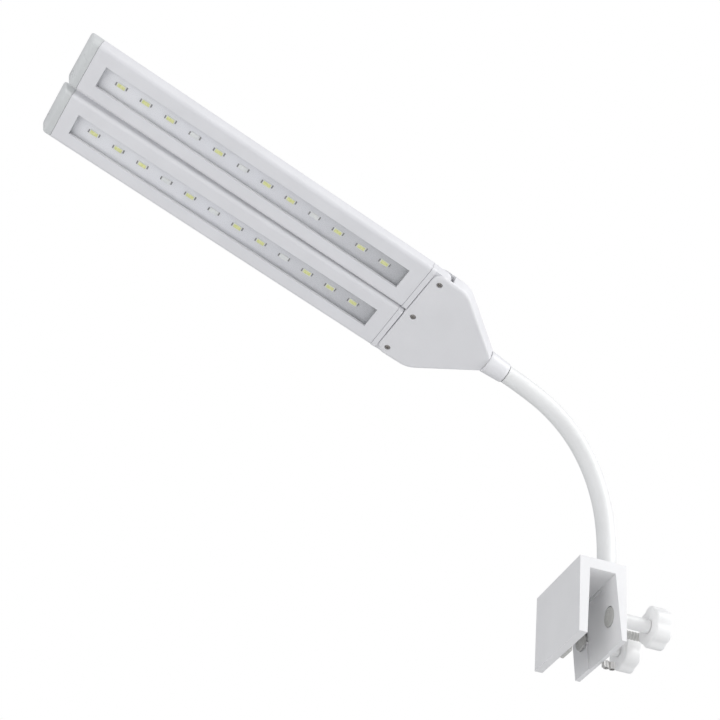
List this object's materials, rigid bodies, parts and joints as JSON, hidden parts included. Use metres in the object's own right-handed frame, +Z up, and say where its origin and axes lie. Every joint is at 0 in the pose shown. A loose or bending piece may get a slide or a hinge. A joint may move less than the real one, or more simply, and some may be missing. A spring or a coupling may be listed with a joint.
{
  "type": "clip on reading lamp",
  "caption": "Reading lamp: long swing-out light bars on a short gooseneck, held to a panel's edge by an inverted-U screw clamp with lobed thumbscrews.",
  "frame": {"origin": "middle of the clamp's seat, the face under the bridge that rests on the panel's top edge", "axes": "+X from the fixed jaw to the thumbscrews, +Y along the clamp to the end away from the neck, +Z up"},
  "size_m": [0.4013, 0.1425, 0.2457],
  "materials": {
    "white_plastic": "smooth white plastic, soft gloss",
    "bar_plastic": "smooth white plastic, soft gloss",
    "end_cap_plastic": "slightly grey translucent white plastic",
    "neck_sleeve": "white satin sleeve",
    "pale_pad": "pale soft rubber",
    "steel": "plain zinc-plated steel",
    "gland_plastic": "light grey plastic",
    "lead_jacket": "light grey jacket",
    "clear_window": "clear, faintly frosted plastic",
    "circuit_board": "white solder-resist board",
    "yellow_led": "yellow phosphor in a white frame",
    "clear_led": "pale phosphor in a white frame"
  },
  "bodies": {
    "clamp": {"clamp_frame": "white_plastic", "bridge_cover": "white_plastic", "jaw_pad": "pale_pad", "neck_nut": "steel", "cord_gland": "gland_plastic", "lead_clip": "steel", "clamp_lead": "lead_jacket", "neck_root_stud": "steel", "neck_root_sleeve": "neck_sleeve"},
    "neck_1": {"neck_core_1": "steel", "neck_sleeve_1": "neck_sleeve", "neck_lead_1": "lead_jacket"},
    "neck_2": {"neck_core_2": "steel", "neck_sleeve_2": "neck_sleeve", "neck_lead_2": "lead_jacket"},
    "neck_3": {"neck_core_3": "steel", "neck_sleeve_3": "neck_sleeve", "neck_lead_3": "lead_jacket"},
    "neck_4": {"neck_core_4": "steel", "neck_sleeve_4": "neck_sleeve", "neck_lead_4": "lead_jacket"},
    "neck_5": {"neck_core_5": "steel", "neck_sleeve_5": "neck_sleeve", "neck_lead_5": "lead_jacket"},
    "neck_6": {"neck_core_6": "steel", "neck_sleeve_6": "neck_sleeve", "neck_lead_6": "lead_jacket", "neck_ferrule": "steel"},
    "head": {"swivel_washer": "steel", "neck_collar": "white_plastic", "housing_shell": "white_plastic", "housing_cover": "white_plastic", "housing_screws": "steel", "pivot_bushes": "steel", "head_lead": "lead_jacket"},
    "bar_a": {"bar_a_channel": "bar_plastic", "bar_a_end_cap": "end_cap_plastic", "bar_a_root_cap": "bar_plastic", "bar_a_window": "clear_window", "bar_a_board": "circuit_board", "bar_a_yellow_leds": "yellow_led", "bar_a_clear_leds": "clear_led", "bar_a_lead": "lead_jacket"},
    "bar_b": {"bar_b_channel": "bar_plastic", "bar_b_end_cap": "end_cap_plastic", "bar_b_root_cap": "bar_plastic", "bar_b_window": "clear_window", "bar_b_board": "circuit_board", "bar_b_yellow_leds": "yellow_led", "bar_b_clear_leds": "clear_led", "bar_b_lead": "lead_jacket"},
    "front_pad": {"front_pad": "pale_pad"},
    "front_screw": {"front_knob": "white_plastic", "front_shank": "white_plastic"},
    "rear_pad": {"rear_pad": "pale_pad"},
    "rear_screw": {"rear_knob": "white_plastic", "rear_shank": "white_plastic"}
  },
  "joints": [
    {"name": "neck_bend_1", "type": "hinge", "parent": "clamp", "child": "neck_1", "pos_m": [0.006, -0.022, 0.0145], "axis": [0.1599, -0.9871, 0], "range_deg": [-15, 15]},
    {"name": "neck_sway_2", "type": "hinge", "parent": "neck_1", "child": "neck_2", "pos_m": [0.00449, -0.02225, 0.03643], "axis": [-0.9775, -0.1583, -0.1392], "range_deg": [-15, 15]},
    {"name": "neck_bend_3", "type": "hinge", "parent": "neck_2", "child": "neck_3", "pos_m": [-0.00076, -0.0231, 0.05774], "axis": [0.1599, -0.9871, 0], "range_deg": [-15, 15]},
    {"name": "neck_sway_4", "type": "hinge", "parent": "neck_3", "child": "neck_4", "pos_m": [-0.01059, -0.02469, 0.07729], "axis": [-0.8184, -0.1325, -0.5592], "range_deg": [-15, 15]},
    {"name": "neck_bend_5", "type": "hinge", "parent": "neck_4", "child": "neck_5", "pos_m": [-0.02528, -0.02707, 0.09338], "axis": [0.1599, -0.9871, 0], "range_deg": [-15, 15]},
    {"name": "neck_sway_6", "type": "hinge", "parent": "neck_5", "child": "neck_6", "pos_m": [-0.04402, -0.0301, 0.10434], "axis": [-0.3618, -0.0586, -0.9304], "range_deg": [-15, 15]},
    {"name": "head_swivel", "type": "hinge", "parent": "neck_6", "child": "head", "pos_m": [-0.0646, -0.03343, 0.11132], "axis": [-0.9512, -0.1541, 0.2672], "range_deg": [-90, 90]},
    {"name": "bar_a_pivot", "type": "hinge", "parent": "head", "child": "bar_a", "pos_m": [-0.12047, -0.07019, 0.13448], "axis": [0.2233, 0.2537, 0.9412], "range_deg": [0, 90]},
    {"name": "bar_b_pivot", "type": "hinge", "parent": "head", "child": "bar_b", "pos_m": [-0.13239, -0.01671, 0.1229], "axis": [-0.2233, -0.2537, -0.9412], "range_deg": [-0.5, 89.5]},
    {"name": "front_pad_travel", "type": "slide", "parent": "clamp", "child": "front_pad", "axis": [-1, 0, 0], "range_m": [0, 0.0125]},
    {"name": "front_screw_turn", "type": "hinge", "parent": "front_pad", "child": "front_screw", "pos_m": [0.03, -0.0175, -0.0205], "axis": [-1, 0, 0], "range_deg": [-1, 3601]},
    {"name": "rear_pad_travel", "type": "slide", "parent": "clamp", "child": "rear_pad", "axis": [-1, 0, 0], "range_m": [-0.00125, 0.01125]},
    {"name": "rear_screw_turn", "type": "hinge", "parent": "rear_pad", "child": "rear_screw", "pos_m": [0.03, 0.0175, -0.0205], "axis": [-1, 0, 0], "range_deg": [-361, 3241]}
  ],
  "couplings": [
    {"joint": "front_screw_turn", "follows": "front_pad_travel", "rad_per_m": 5026.5},
    {"joint": "rear_screw_turn", "follows": "rear_pad_travel", "rad_per_m": 5026.5}
  ]
}
